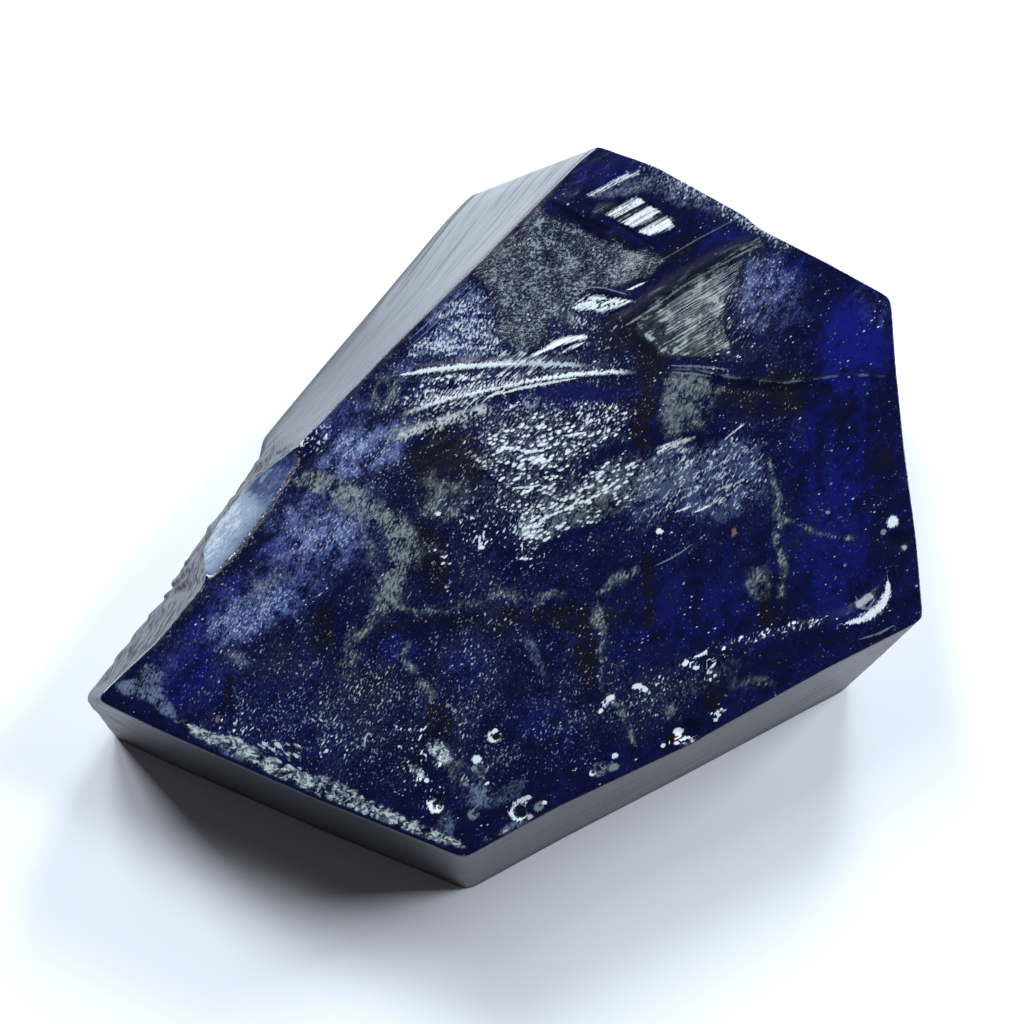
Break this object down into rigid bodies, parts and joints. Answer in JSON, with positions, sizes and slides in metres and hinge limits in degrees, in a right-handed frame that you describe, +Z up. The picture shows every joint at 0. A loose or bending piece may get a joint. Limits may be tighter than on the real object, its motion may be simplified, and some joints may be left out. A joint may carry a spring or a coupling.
{
  "type": "rough sapphire",
  "caption": "Five-sided slab of rough opaque deep blue stone with a broken upper face and sawn sides, to lie flat as a raw gem or mineral sample.",
  "frame": {"origin": "middle of the outline's bounding box, on the flat face that the stone rests on", "axes": "+X along the long way of the slab, from the ragged tip to the undercut side; +Y away from the viewer, towards the end with the sawn bevel; +Z up out of the broken face"},
  "size_m": [0.04, 0.0356, 0.0067],
  "materials": {
    "stone": "satin"
  },
  "bodies": {
    "root": {"stone": "stone"}
  },
  "joints": []
}
